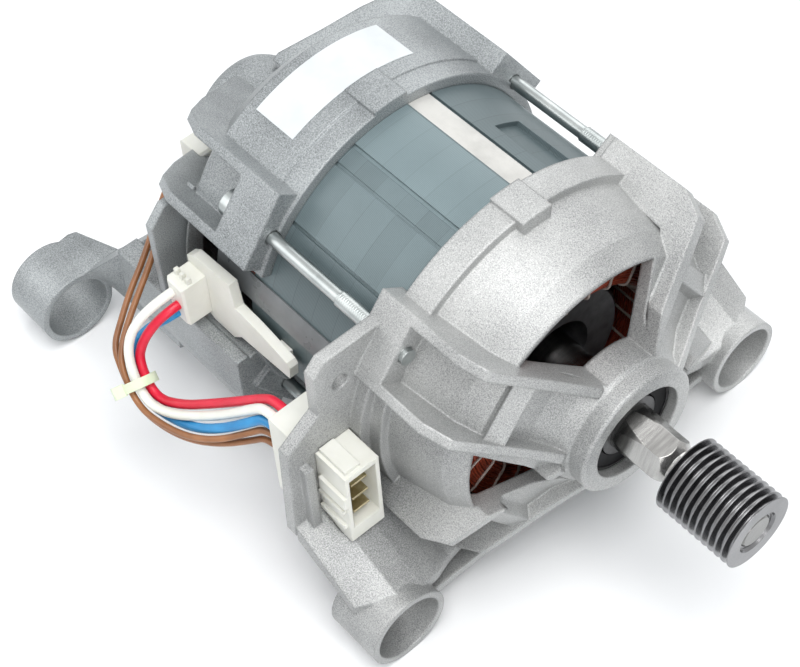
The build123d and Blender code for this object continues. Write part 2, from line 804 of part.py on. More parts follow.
# Laminated stator core
slot_step = 360 / slot_count


def slot_outline(inset):
    half_inner = slot_inner_width / 2 - inset
    half_outer = slot_outer_width / 2 - inset
    return [
        (slot_inner_radius + inset, -half_inner),
        (slot_outer_radius - inset, -half_outer),
        (slot_outer_radius - inset, half_outer),
        (slot_inner_radius + inset, half_inner),
    ]


stack_length = stack_front_x - stack_rear_x
with BuildPart() as stator_core:
    with BuildSketch(Plane.YZ.offset(stack_rear_x)):
        Circle(stack_radius)
        Circle(stator_bore_radius, mode=Mode.SUBTRACT)
        with PolarLocations(0, slot_count):
            Polygon(*slot_outline(0), align=None, mode=Mode.SUBTRACT)
            with Locations((stator_bore_radius, 0)):
                Rectangle(slot_inner_radius, slot_mouth_width, mode=Mode.SUBTRACT)
    extrude(amount=stack_length)
    for angle in stack_groove_angles:
        add(radial_slab([
            (stack_rear_x - cut_over, stack_radius - stack_groove_depth),
            (stack_front_x + cut_over, stack_radius - stack_groove_depth),
            (stack_front_x + cut_over, stack_radius + cut_over),
            (stack_rear_x - cut_over, stack_radius + cut_over),
        ], angle, -stack_groove_width / 2, stack_groove_width), mode=Mode.SUBTRACT)
    add(arc_sector(stack_step_from_angle, stack_step_to_angle, stack_radius - stack_step_depth,
                   stack_radius + cut_over, rear_lip_front_x, lip_rear_x), mode=Mode.SUBTRACT)
    add(arc_sector(stack_recess_from_angle, stack_recess_to_angle, stack_radius - stack_recess_depth,
                   stack_radius + cut_over, stack_recess_rear_x, ear_rear_x), mode=Mode.SUBTRACT)
save(stator_core.part, "stator_core")

with BuildPart() as slot_liners:
    with BuildSketch(Plane.YZ.offset(stack_rear_x)):
        with PolarLocations(0, slot_count):
            Polygon(*slot_outline(liner_clearance), align=None)
        with PolarLocations(0, slot_count):
            Polygon(*slot_outline(liner_clearance + liner_thickness), align=None, mode=Mode.SUBTRACT)
    extrude(amount=stack_length)
save(slot_liners.part, "slot_liners")

with BuildPart() as slot_windings:
    with BuildSketch(Plane.YZ.offset(stack_rear_x - crown_seat_gap)):
        with PolarLocations(0, slot_count):
            Polygon(*slot_outline(2 * liner_clearance + liner_thickness), align=None)
    extrude(amount=stack_length + 2 * crown_seat_gap)
save(slot_windings.part, "slot_windings")

# End windings. The front one shows, so its outer layer of turns is wound over a plain core.
strand_layer = 2 * bundle_radius + bundle_seat_gap
crown_back_x = stack_front_x + crown_seat_gap


def crown_profile(back_x, front_x, outer_radius, inner_radius, corner):
    """Section of an end winding, its front corners rounded."""
    with BuildSketch(Plane.XZ) as section:
        with BuildLine():
            Line((back_x, inner_radius), (back_x, outer_radius))
            Line((back_x, outer_radius), (front_x - corner, outer_radius))
            TangentArc((front_x - corner, outer_radius), (front_x, outer_radius - corner), tangent=(1, 0))
            Line((front_x, outer_radius - corner), (front_x, inner_radius + corner))
            TangentArc((front_x, inner_radius + corner), (front_x - corner, inner_radius), tangent=(0, -1))
            Line((front_x - corner, inner_radius), (back_x, inner_radius))
        make_face()
    return section.sketch


with BuildPart() as front_end_winding:
    revolve(crown_profile(crown_back_x, crown_front_x - strand_layer, crown_outer_radius - strand_layer,
                          crown_inner_radius + strand_layer, crown_corner), axis=Axis.X)
save(front_end_winding.part, "front_end_winding")

rear_crown_back_x = stack_rear_x - crown_seat_gap
with BuildPart() as rear_end_winding:
    revolve(lathe([
        (rear_crown_back_x, crown_inner_radius),
        (rear_crown_back_x, crown_outer_radius),
        (crown_rear_x + crown_corner, crown_outer_radius),
        (crown_rear_x, crown_outer_radius - crown_corner),
        (crown_rear_x, crown_inner_radius + crown_corner),
        (crown_rear_x + crown_corner, crown_inner_radius),
    ]), axis=Axis.X)
save(rear_end_winding.part, "rear_end_winding")

# The layer's course over the core's section: out along the outside, round the front and back inside
course_outer = crown_outer_radius - bundle_radius
course_inner = crown_inner_radius + bundle_radius
course_front = crown_front_x - bundle_radius
course_corner = crown_corner + strand_layer - bundle_radius
course_start_x = crown_back_x + bundle_seat_gap + bundle_radius
with BuildLine(Plane.XY) as course:
    Line((course_start_x, course_outer), (course_front - course_corner, course_outer))
    TangentArc((course_front - course_corner, course_outer), (course_front, course_outer - course_corner),
               tangent=(1, 0))
    Line((course_front, course_outer - course_corner), (course_front, course_inner + course_corner))
    TangentArc((course_front, course_inner + course_corner), (course_front - course_corner, course_inner),
               tangent=(0, -1))
    Line((course_front - course_corner, course_inner), (course_start_x, course_inner))
course_wire = course.wires()[0]
half_turns = int(2 * course_wire.length / bundle_pitch)
turn_ends = []
for index in range(half_turns + 1):
    spot = course_wire.position_at(index / half_turns)
    side = 1 if index % 2 == 0 else -1
    turn_ends.append(Vector(spot.X, side * spot.Y, 0))
with BuildPart() as front_winding_strands:
    with BuildLine() as winding_path:
        Line(turn_ends[0] - Vector(0, 0, 2 * bundle_radius), turn_ends[0])
        for index in range(half_turns):
            start, finish = turn_ends[index], turn_ends[index + 1]
            rise = (finish - start).length / 2
            side = 1 if index % 2 == 0 else -1
            ThreePointArc(start, (start + finish) * 0.5 + Vector(0, 0, side * rise), finish)
        last_side = 1 if half_turns % 2 == 0 else -1
        Line(turn_ends[-1], turn_ends[-1] + Vector(0, 0, 2 * bundle_radius * last_side))
    with BuildSketch(Plane(origin=winding_path.line @ 0, z_dir=(0, 0, 1))):
        Circle(bundle_radius)
    sweep(path=winding_path.line)
save(front_winding_strands.part, "front_winding_strands")
gaps = []
for index in range(len(turn_ends) - 2):
    gaps.append((turn_ends[index + 2] - turn_ends[index]).length - 2 * bundle_radius)
print("front winding: loops", half_turns / 2, "least gap between loops", round(min(gaps), 3))

tie_back_x = stack_front_x + crown_seat_gap / 2
with BuildPart() as winding_ties:
    for index in range(lacing_count):
        angle = index * 360 / lacing_count + slot_step / 2
        flat = radial_plane(angle)
        reach = lacing_radius + lacing_gap
        with BuildLine(flat) as loop:
            FilletPolyline(
                (tie_back_x, crown_inner_radius - reach),
                (tie_back_x, crown_outer_radius + reach),
                (crown_front_x + reach, crown_outer_radius + reach),
                (crown_front_x + reach, crown_inner_radius - reach),
                radius=lacing_bend,
                close=True,
            )
        with BuildSketch(Plane(origin=loop.line @ 0, z_dir=loop.line % 0)):
            Circle(lacing_radius)
        sweep(path=loop.line)
save(winding_ties.part, "winding_ties")

# Rotor: laminated core, cast cage, shaft and pulley
with BuildPart() as rotor_core:
    with BuildSketch(Plane.YZ.offset(stack_rear_x)):
        Circle(rotor_radius)
        Circle(core_seat_radius, mode=Mode.SUBTRACT)
        with PolarLocations(rotor_bar_circle, rotor_bar_count):
            Circle(rotor_bar_radius, mode=Mode.SUBTRACT)
    extrude(amount=stack_length)
save(rotor_core.part, "rotor_core")

with BuildPart() as rotor_cage:
    with BuildSketch(Plane.YZ.offset(stack_rear_x)):
        with PolarLocations(rotor_bar_circle, rotor_bar_count):
            Circle(rotor_bar_radius)
    extrude(amount=stack_length)
    add(turned([
        (stack_front_x, rotor_ring_inner_radius),
        (rotor_ring_front_x, rotor_ring_inner_radius),
        (rotor_ring_front_x, rotor_ring_radius - rotor_corner / 2),
        (rotor_ring_front_x - rotor_corner / 2, rotor_ring_radius),
        (stack_front_x, rotor_ring_radius + rotor_corner / 4),
    ]))
    add(turned([
        (stack_rear_x, rotor_ring_inner_radius),
        (stack_rear_x, rotor_ring_radius + rotor_corner / 4),
        (rotor_ring_rear_x + rotor_corner / 2, rotor_ring_radius),
        (rotor_ring_rear_x, rotor_ring_radius - rotor_corner / 2),
        (rotor_ring_rear_x, rotor_ring_inner_radius),
    ]))
save(rotor_cage.part, "rotor_cage")
print("cage solids", len(rotor_cage.part.solids()))

shaft_tip_x = pulley_front_x - shaft_tip_inset
with BuildPart() as shaft:
    revolve(lathe([
        (shaft_rear_x, 0),
        (shaft_rear_x, tacho_seat_radius - shaft_tip_chamfer),
        (shaft_rear_x + shaft_tip_chamfer, tacho_seat_radius),
        (rear_floor_x, tacho_seat_radius),
        (rear_floor_x, rear_seat_radius),
        (rear_bearing_front_x, rear_seat_radius),
        (rear_bearing_front_x, seat_radius),
        (rotor_ring_rear_x, seat_radius),
        (rotor_ring_rear_x, core_seat_radius),
        (front_bearing_rear_x, core_seat_radius),
        (front_bearing_rear_x, seat_radius),
        (seat_start_x, seat_radius),
        (neck_start_x, neck_radius),
        (shaft_tip_x - shaft_tip_chamfer, neck_radius),
        (shaft_tip_x, neck_radius - shaft_tip_chamfer),
        (shaft_tip_x, 0),
    ]), axis=Axis.X)
    # Six flats for a wrench, each running out towards the hub
    for index in range(wrench_flats):
        add(radial_slab([
            (wrench_flat_back_x, seat_radius),
            (wrench_flat_full_x, wrench_flat_width / 2),
            (neck_start_x, wrench_flat_width / 2),
            (neck_start_x, 2 * seat_radius),
            (wrench_flat_back_x, 2 * seat_radius),
        ], index * 360 / wrench_flats + wrench_flat_turn, -seat_radius, 2 * seat_radius), mode=Mode.SUBTRACT)
save(shaft.part, "shaft")

pulley_outline = [(pulley_rear_x, neck_radius), (pulley_rear_x, pulley_crest_radius)]
root_radius = pulley_crest_radius - pulley_groove_depth
for index in range(pulley_grooves):
    start_x = pulley_rear_x + index * pulley_groove_pitch
    side_run = (pulley_groove_pitch - pulley_crest_width - pulley_root_width) / 2
    pulley_outline += [
        (start_x + pulley_crest_width / 2, pulley_crest_radius),
        (start_x + pulley_crest_width / 2 + side_run, root_radius),
        (start_x + pulley_groove_pitch - pulley_crest_width / 2 - side_run, root_radius),
        (start_x + pulley_groove_pitch - pulley_crest_width / 2, pulley_crest_radius),
    ]
pulley_outline += [
    (pulley_front_x, pulley_crest_radius),
    (pulley_front_x, pulley_recess_radius),
    (pulley_front_x - pulley_recess_depth, pulley_recess_radius - pulley_recess_depth / 2),
    (pulley_front_x - pulley_recess_depth, neck_radius),
]
with BuildPart() as pulley:
    revolve(lathe(pulley_outline), axis=Axis.X)
save(pulley.part, "pulley")

# Ball bearings: rings, balls, cage and seals of each
bearings = [
    ("front", front_bearing_front_x, front_bearing_width, front_bearing_outer_radius, seat_radius,
     front_ball_radius, front_ball_count),
    ("rear", rear_bearing_front_x, rear_bearing_width, rear_bearing_outer_radius, rear_seat_radius,
     rear_ball_radius, rear_ball_count),
]
for place, front_x, width, outer_radius, bore_radius, ball_radius, ball_count in bearings:
    rear_x = front_x - width
    middle_x = front_x - width / 2
    outer_race = outer_radius - race_wall
    inner_race = bore_radius + race_wall
    ball_circle = (outer_race + inner_race) / 2
    with BuildSketch(Plane.XZ) as raceway:
        with Locations((middle_x, ball_circle)):
            Circle(ball_radius + groove_clearance)
    with BuildPart() as outer_ring:
        add(tube_part(front_x, rear_x, outer_radius, outer_race))
        revolve(raceway.sketch, axis=Axis.X, mode=Mode.SUBTRACT)
    save(outer_ring.part, f"{place}_bearing_outer_ring")
    with BuildPart() as inner_ring:
        add(tube_part(front_x, rear_x, inner_race, bore_radius))
        revolve(raceway.sketch, axis=Axis.X, mode=Mode.SUBTRACT)
    save(inner_ring.part, f"{place}_bearing_inner_ring")
    with BuildPart() as balls:
        for index in range(ball_count):
            with Locations(on_circle(index * 360 / ball_count, ball_circle, middle_x)):
                Sphere(ball_radius)
    save(balls.part, f"{place}_bearing_balls")
    with BuildPart() as cage:
        add(tube_part(middle_x + ball_radius + cage_side, middle_x - ball_radius - cage_side,
                      ball_circle + cage_thickness / 2, ball_circle - cage_thickness / 2))
        for index in range(ball_count):
            with Locations(on_circle(index * 360 / ball_count, ball_circle, middle_x)):
                Sphere(ball_radius + groove_clearance, mode=Mode.SUBTRACT)
    save(cage.part, f"{place}_bearing_cage")
    with BuildPart() as seals:
        for seal_x in (front_x - seal_gap, rear_x + seal_gap + seal_thickness):
            add(tube_part(seal_x, seal_x - seal_thickness, outer_race, inner_race + seal_gap))
    save(seals.part, f"{place}_bearing_seals")

# Preload washer behind the rear bearing, drawn nearly flat as it sits when fitted
save(tube_part(rear_bearing_rear_x, rear_floor_x, rear_bearing_outer_radius - bolt_clearance,
               rear_floor_radius + bolt_clearance), "preload_washer")

# Speed sensor: magnet on the shaft's end, coil round it, lid and plug
magnet = tube_part(magnet_rear_x + magnet_length, magnet_rear_x, magnet_radius, tacho_seat_radius)
save(magnet, "tacho_magnet")
coil = tube_part(coil_front_x, coil_rear_x, rear_bearing_outer_radius - coil_clearance, coil_inner_radius)
save(coil, "tacho_coil")
with BuildPart() as tacho_lid:
    add(tube_part(coil_rear_x, rear_hub_end_x, rear_bearing_outer_radius - coil_clearance, 0))
save(tacho_lid.part, "tacho_lid")
with BuildPart() as tacho_plug:
    add(block(tacho_plug_rear_x, tacho_plug_front_x, tacho_plug_near_y, -rear_bearing_outer_radius,
              tacho_plug_bottom_z, tacho_plug_top_z))
    chamfer(tacho_plug.edges().filter_by(Axis.Y), length=plug_edge)
save(tacho_plug.part, "tacho_plug")

# Tie bolts with cylinder heads and hexagon sockets
with BuildPart() as tie_bolts:
    for angle in bolt_angles:
        add(rod(angle, bolt_circle_radius, rear_ear_back_x, bolt_thread_start_x, bolt_shank_radius))
        add(rod(angle, bolt_circle_radius, bolt_thread_start_x, bolt_tip_x, bolt_thread_radius))
        head_x = rear_ear_back_x - bolt_head_height
        add(rod(angle, bolt_circle_radius, head_x, rear_ear_back_x, bolt_head_radius))
        with BuildSketch(Plane(origin=on_circle(angle, bolt_circle_radius, head_x),
                               x_dir=(0, 1, 0), z_dir=(1, 0, 0))):
            RegularPolygon(bolt_socket_radius, bolt_socket_sides)
        extrude(amount=bolt_socket_depth, mode=Mode.SUBTRACT)
save(tie_bolts.part, "tie_bolts")

# Terminal rail on the stack's side, its pins and the white header that plugs onto them
with BuildPart() as terminal_rail:
    with BuildSketch(Plane.XZ.offset(-rail_far_y)):
        with BuildLine():
            Polyline(*rail_outline, close=True)
        make_face()
    extrude(amount=rail_far_y - rail_near_y)
    for foot_x in rail_foot_places:
        add(block(foot_x - rail_foot_size / 2, foot_x + rail_foot_size / 2, rail_far_y,
                  -stack_radius - spigot_clearance, -rail_foot_size / 2, rail_foot_size / 2))
    for pin_z in terminal_pin_levels:
        add(block(terminal_pin_x - terminal_pin_width / 2, terminal_pin_x + terminal_pin_width / 2,
                  rail_near_y, rail_far_y,
                  pin_z - terminal_pin_thickness / 2, pin_z + terminal_pin_thickness / 2),
            mode=Mode.SUBTRACT)
save(terminal_rail.part, "terminal_rail")

with BuildPart() as terminal_pins:
    for pin_z in terminal_pin_levels:
        add(block(terminal_pin_x - terminal_pin_width / 2, terminal_pin_x + terminal_pin_width / 2,
                  terminal_pin_tip_y, rail_far_y,
                  pin_z - terminal_pin_thickness / 2, pin_z + terminal_pin_thickness / 2))
save(terminal_pins.part, "terminal_pins")

with BuildPart() as terminal_header:
    add(block(header_rear_x, header_front_x, header_near_y, rail_near_y, header_bottom_z, header_top_z))
    chamfer(terminal_header.faces().sort_by(Axis.Y)[0].edges(), length=plug_edge)
    for prong_x in prong_places:
        add(block(prong_x - prong_width / 2, prong_x + prong_width / 2, header_near_y + 2 * prong_width,
                  header_near_y + 3 * prong_width, header_top_z, header_top_z + prong_height))
    for pin_z in terminal_pin_levels:
        add(block(terminal_pin_x - terminal_pin_width / 2 - pin_clearance,
                  terminal_pin_x + terminal_pin_width / 2 + pin_clearance,
                  terminal_pin_tip_y - pin_clearance, rail_near_y,
                  pin_z - terminal_pin_thickness / 2 - pin_clearance,
                  pin_z + terminal_pin_thickness / 2 + pin_clearance), mode=Mode.SUBTRACT)
save(terminal_header.part, "terminal_header")

film_radius = stack_radius + film_clearance
save(arc_sector(film_from_angle, film_to_angle, film_radius, film_radius + film_thickness,
                film_rear_x, film_front_x), "insulating_film")

# Connector that clips through the plate, with its contacts
with BuildPart() as plate_connector:
    add(block(ear_rear_x, plug_front_x, plug_y_near, plug_y_far, plug_bottom_z, plug_top_z))
    add(block(plug_rear_x, ear_rear_x, plug_rear_y_near, plug_rear_y_far,
              plug_rear_bottom_z, plug_rear_top_z))
    pocket = block(plug_front_x - plug_pocket_depth, plug_front_x + cut_over, plug_y_near + plug_wall,
                   plug_y_far - plug_wall, plug_bottom_z + plug_foot, plug_top_z - plug_bridge_height)
    add(pocket, mode=Mode.SUBTRACT)
    add(block(plug_front_x - plug_pocket_depth, plug_front_x, plug_y_near - plug_latch_rise, plug_y_near,
              plug_latch_z - plug_latch_width / 2, plug_latch_z + plug_latch_width / 2))
    # Lug on the top and ribs on the near side
    add(block(plug_lug_rear_x, plug_front_x - plug_wall, plug_lug_near_y, plug_lug_far_y,
              plug_top_z, plug_top_z + plug_lug_rise))
    for level in plug_rib_levels:
        add(block(plug_rib_rear_x, plug_front_x - plug_wall, plug_y_near - plug_latch_rise, plug_y_near,
                  level, level + plug_rib_height))
    for level in contact_levels:
        add(block(plug_front_x - plug_pocket_depth - contact_root, plug_front_x - plug_pocket_depth,
                  contact_middle_y - contact_width / 2, contact_middle_y + contact_width / 2,
                  level - contact_thickness / 2, level + contact_thickness / 2), mode=Mode.SUBTRACT)
save(plate_connector.part, "plate_connector")

with BuildPart() as connector_contacts:
    for level in contact_levels:
        add(block(plug_front_x - plug_pocket_depth - contact_root,
                  plug_front_x - plug_pocket_depth + contact_reach,
                  contact_middle_y - contact_width / 2, contact_middle_y + contact_width / 2,
                  level - contact_thickness / 2, level + contact_thickness / 2))
save(connector_contacts.part, "connector_contacts")

# Type plate, blank, on the rear shield's back
save(arc_sector(label_from_angle, label_to_angle, rear_shell_radius, rear_shell_radius + label_thickness,
                label_rear_x, label_front_x), "type_plate")

# Wires from the terminal header and the speed sensor, through the tie, to the connector
def corner_radii(points):
    """Radius of each corner: nearly half of the shorter run beside it, over the tangent of half the turn."""
    radii = []
    for before, corner, after in zip(points, points[1:], points[2:]):
        run_in = Vector(*corner) - Vector(*before)
        run_out = Vector(*after) - Vector(*corner)
        turn = radians(run_in.get_angle(run_out))
        radii.append(0.45 * min(run_in.length, run_out.length) / tan(turn / 2))
    return radii


def wire_part(name, points, diameter):
    radii = corner_radii(points)
    with BuildPart() as tube:
        with BuildLine() as path:
            FilletPolyline(*points, radius=radii)
        with BuildSketch(Plane(origin=path.line @ 0, z_dir=path.line % 0)):
            Circle(diameter / 2)
        sweep(path=path.line)
    length = path.wires()[0].length
    expected = length * pi * diameter**2 / 4
    print(name, "length", round(length, 1), "radii", [round(radius, 1) for radius in radii],
          "volume share", round(tube.part.volume / expected, 4))
    save(tube.part, name)


for name, points, diameter in wire_routes:
    wire_part(name, points, diameter)

with BuildPart() as cable_tie:
    tie_plane = Plane(origin=tie_place, x_dir=tie_side, z_dir=tie_direction)
    with BuildSketch(tie_plane.offset(-tie_width / 2)):
        Circle(tie_inner_radius + tie_thickness)
        Circle(tie_inner_radius, mode=Mode.SUBTRACT)
    extrude(amount=tie_width)
    with BuildSketch(tie_plane.offset(-tie_head_size / 2)):
        with Locations((tie_inner_radius + tie_head_size / 2, 0)):
            Rectangle(tie_head_size, tie_head_size)
    extrude(amount=tie_head_size)
save(cable_tie.part, "cable_tie")
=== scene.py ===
import bpy
import numpy as np
from mathutils import Matrix, Vector


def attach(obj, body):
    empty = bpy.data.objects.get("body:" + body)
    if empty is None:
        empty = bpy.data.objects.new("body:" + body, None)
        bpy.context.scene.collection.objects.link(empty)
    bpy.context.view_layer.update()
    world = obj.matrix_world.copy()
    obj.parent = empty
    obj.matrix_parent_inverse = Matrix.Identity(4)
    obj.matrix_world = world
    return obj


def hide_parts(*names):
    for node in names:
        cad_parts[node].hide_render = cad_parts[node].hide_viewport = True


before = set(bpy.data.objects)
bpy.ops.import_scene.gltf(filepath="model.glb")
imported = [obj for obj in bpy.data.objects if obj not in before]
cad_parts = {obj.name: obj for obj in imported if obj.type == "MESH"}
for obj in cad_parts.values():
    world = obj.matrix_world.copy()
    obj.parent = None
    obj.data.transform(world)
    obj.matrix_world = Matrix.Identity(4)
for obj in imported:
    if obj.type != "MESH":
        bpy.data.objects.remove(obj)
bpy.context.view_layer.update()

mm = 0.001
edgeSamples = 6

# Camera, in metres, found by matching the shaft, hub, eyes and bolts to the photograph
camera = {
    "place": (0.159597, -0.229015, 0.431536),
    "turn": (0.5943398, 0.3187897, 0.8025399),
    "lens": 84.715,
    "sensor": 36.0,
    "near": 0.01,
    "far": 20,
}

camData = bpy.data.cameras.new("photo_camera")
camData.sensor_fit = "HORIZONTAL"
camData.sensor_width = camera["sensor"]
camData.lens = camera["lens"]
camData.clip_start = camera["near"]
camData.clip_end = camera["far"]
camObj = bpy.data.objects.new("photo_camera", camData)
camTurn = Vector(camera["turn"])  # the axis that it is turned about, as long as the angle in radians
camSpin = Matrix.Rotation(camTurn.length, 4, camTurn.normalized())
camObj.matrix_world = Matrix.Translation(camera["place"]) @ camSpin
bpy.context.scene.collection.objects.link(camObj)
bpy.context.scene.camera = camObj
print("camera set")


def newMaterial(name):
    mat = bpy.data.materials.new(name)
    mat.use_nodes = True
    tree = mat.node_tree
    tree.nodes.clear()
    out = tree.nodes.new("ShaderNodeOutputMaterial")
    shader = tree.nodes.new("ShaderNodeBsdfPrincipled")
    tree.links.new(shader.outputs["BSDF"], out.inputs["Surface"])
    coords = tree.nodes.new("ShaderNodeTexCoord")
    return mat, tree, shader, coords.outputs["Object"]


def noiseOf(tree, coords, scale, detail, rough):
    node = tree.nodes.new("ShaderNodeTexNoise")
    node.inputs["Scale"].default_value = scale
    node.inputs["Detail"].default_value = detail
    node.inputs["Roughness"].default_value = rough
    tree.links.new(coords, node.inputs["Vector"])
    return node.outputs["Fac"]


def rampOf(tree, value, stops):
    node = tree.nodes.new("ShaderNodeValToRGB")
    ramp = node.color_ramp
    while len(ramp.elements) < len(stops):
        ramp.elements.new(0.5)
    for element, (place, colour) in zip(ramp.elements, stops):
        element.position = place
        element.color = (*colour, 1.0)
    tree.links.new(value, node.inputs["Fac"])
    return node.outputs["Color"]


def rangeOf(tree, value, low, high):
    node = tree.nodes.new("ShaderNodeMapRange")
    node.inputs["To Min"].default_value = low
    node.inputs["To Max"].default_value = high
    tree.links.new(value, node.inputs["Value"])
    return node.outputs["Result"]


def bumpOf(tree, height, strength, distance, normal):
    node = tree.nodes.new("ShaderNodeBump")
    node.inputs["Strength"].default_value = strength
    node.inputs["Distance"].default_value = distance
    tree.links.new(height, node.inputs["Height"])
    tree.links.new(normal, node.inputs["Normal"])
    return node.outputs["Normal"]


# Shading that rounds the edges of a piece without moving its surface
def roundEdges(tree, radius):
    node = tree.nodes.new("ShaderNodeBevel")
    node.samples = edgeSamples
    node.inputs["Radius"].default_value = radius
    return node.outputs["Normal"]


def axisOf(tree, coords, axis):
    node = tree.nodes.new("ShaderNodeSeparateXYZ")
    tree.links.new(coords, node.inputs["Vector"])
    return node.outputs[axis]


def mathOf(tree, kind, first, second=None, third=None):
    node = tree.nodes.new("ShaderNodeMath")
    node.operation = kind
    for index, value in enumerate((first, second, third)):
        if value is None:
            continue
        if isinstance(value, (int, float)):
            node.inputs[index].default_value = value
        else:
            tree.links.new(value, node.inputs[index])
    return node.outputs["Value"]


# Blender's Mix node keeps a set of sockets for each kind of data: these are the ones for colours
mixSockets = {"first": 6, "second": 7, "result": 2}


def mixOf(tree, kind, share, first, second):
    node = tree.nodes.new("ShaderNodeMix")
    node.data_type = "RGBA"
    node.blend_type = kind
    tree.links.new(share, node.inputs["Factor"])
    tree.links.new(first, node.inputs[mixSockets["first"]])
    if isinstance(second, tuple):
        node.inputs[mixSockets["second"]].default_value = (*second, 1.0)
    else:
        tree.links.new(second, node.inputs[mixSockets["second"]])
    return node.outputs[mixSockets["result"]]


# Die-cast aluminium: pale matt grey with a fine sandblasted sparkle and rounded edges
casting = {
    "dark": (0.175, 0.180, 0.181), "pale": (0.58, 0.583, 0.573), "metal": 0.45, "rough": 0.42, "edge": 1.1 * mm,
    "grain": 2900.0, "grainShare": 0.62, "cloud": 22.0, "cloudShare": 0.38, "from": 0.34, "to": 0.64,
    "smoother": 0.10, "rougher": 0.14, "pits": 1.2, "pitStrength": 0.7, "pitDepth": 0.11 * mm,
}
# The rear shield: the same cast aluminium painted darker and bluer, as painted shade for the less lit rear
rearCastingShaded = {**casting, "dark": (0.105, 0.116, 0.121), "pale": (0.455, 0.477, 0.483), "grain": 2500.0}


def castMaterial(name, look):
    mat, tree, shader, coords = newMaterial(name)
    grain = noiseOf(tree, coords, look["grain"], detail=2.0, rough=0.75)
    cloud = noiseOf(tree, coords, look["cloud"], detail=3.0, rough=0.55)
    clouds = mathOf(tree, "MULTIPLY", cloud, look["cloudShare"])
    both = mathOf(tree, "MULTIPLY_ADD", grain, look["grainShare"], clouds)
    colour = rampOf(tree, both, [(look["from"], look["dark"]), (look["to"], look["pale"])])
    tree.links.new(colour, shader.inputs["Base Color"])
    shader.inputs["Metallic"].default_value = look["metal"]
    roughness = rangeOf(tree, grain, look["rough"] - look["smoother"], look["rough"] + look["rougher"])
    tree.links.new(roughness, shader.inputs["Roughness"])
    pits = noiseOf(tree, coords, look["grain"] * look["pits"], detail=2.0, rough=0.7)
    normal = bumpOf(tree, pits, look["pitStrength"], look["pitDepth"], roundEdges(tree, look["edge"]))
    tree.links.new(normal, shader.inputs["Normal"])
    return mat


# Stack of thin sheets painted blue-grey: fine rings round it, a shade for each sector between the grooves
# (from an angle in degrees on), batches of sheets with thin seams along it, and a bare strip at the top groove
stack = {
    "dark": (0.048, 0.065, 0.069), "pale": (0.232, 0.302, 0.318), "bare": (0.56, 0.55, 0.52),
    "pitch": 0.5 * mm, "batch": 8.5 * mm, "metal": 0.15, "rough": 0.36, "smoother": 0.08, "rougher": 0.15,
    "sectors": [(0, 0.28), (83.8, 0.62), (106.2, 0.42), (113.8, 0.44), (136.5, 0.30)],
    "strip": (75.2, 83.8), "stripDull": 0.7, "sectorShift": 37.0, "seam": 0.022, "smear": 45.0,
    "sheetShare": 0.22, "smearShare": 0.22, "batchShare": 0.10, "seamShare": -0.16, "level": 0.22,
    "edge": 0.3 * mm, "relief": 0.08 * mm, "reliefStrength": 0.25, "dullTo": 0.3, "bareFrom": 0.6,
}


def stackMaterial(name, look):
    halfTurn = 180.0
    mat, tree, shader, coords = newMaterial(name)
    along = axisOf(tree, coords, "X")
    turn = mathOf(tree, "ARCTAN2", axisOf(tree, coords, "Z"), axisOf(tree, coords, "Y"))
    degrees = mathOf(tree, "DEGREES", turn)
    sector = tree.nodes.new("ShaderNodeValToRGB")
    sector.color_ramp.interpolation = "CONSTANT"
    stops = sector.color_ramp.elements
    while len(stops) < len(look["sectors"]):
        stops.new(0.5)
    for stop, (angle, shade) in zip(stops, look["sectors"]):
        stop.position = angle / halfTurn
        stop.color = (shade, shade, shade, 1)
    tree.links.new(mathOf(tree, "DIVIDE", degrees, halfTurn), sector.inputs["Fac"])
    wave = mathOf(tree, "SINE", mathOf(tree, "MULTIPLY", along, 2 * np.pi / look["pitch"]))
    sheet = mathOf(tree, "MULTIPLY_ADD", wave, 0.5, 0.5)
    batches = mathOf(tree, "DIVIDE", along, look["batch"])
    shifted = mathOf(tree, "MULTIPLY_ADD", sector.outputs["Color"], look["sectorShift"], batches)
    shade = tree.nodes.new("ShaderNodeTexWhiteNoise")
    shade.noise_dimensions = "1D"
    tree.links.new(mathOf(tree, "FLOOR", shifted), shade.inputs["W"])
    seam = mathOf(tree, "LESS_THAN", mathOf(tree, "FRACT", shifted), look["seam"])
    smear = noiseOf(tree, coords, look["smear"], detail=5.0, rough=0.65)
    mix = mathOf(tree, "MULTIPLY_ADD", shade.outputs["Value"], look["batchShare"], sector.outputs["Color"])
    mix = mathOf(tree, "MULTIPLY_ADD", smear, look["smearShare"], mix)
    mix = mathOf(tree, "MULTIPLY_ADD", sheet, look["sheetShare"], mix)
    mix = mathOf(tree, "SUBTRACT", mix, look["level"])
    mix = mathOf(tree, "MULTIPLY_ADD", seam, look["seamShare"], mix)
    paint = rampOf(tree, mix, [(0.0, look["dark"]), (1.0, look["pale"])])
    inside = mathOf(tree, "MULTIPLY", mathOf(tree, "GREATER_THAN", degrees, look["strip"][0]),
                    mathOf(tree, "LESS_THAN", degrees, look["strip"][1]))
    dull = tuple(c * look["stripDull"] for c in look["bare"])
    bare = rampOf(tree, smear, [(look["dullTo"], dull), (look["bareFrom"], look["bare"])])
    tree.links.new(mixOf(tree, "MIX", inside, paint, bare), shader.inputs["Base Color"])
    shader.inputs["Metallic"].default_value = look["metal"]
    roughness = rangeOf(tree, smear, look["rough"] - look["smoother"], look["rough"] + look["rougher"])
    tree.links.new(roughness, shader.inputs["Roughness"])
    normal = bumpOf(tree, sheet, look["reliefStrength"], look["relief"], roundEdges(tree, look["edge"]))
    tree.links.new(normal, shader.inputs["Normal"])
    return mat


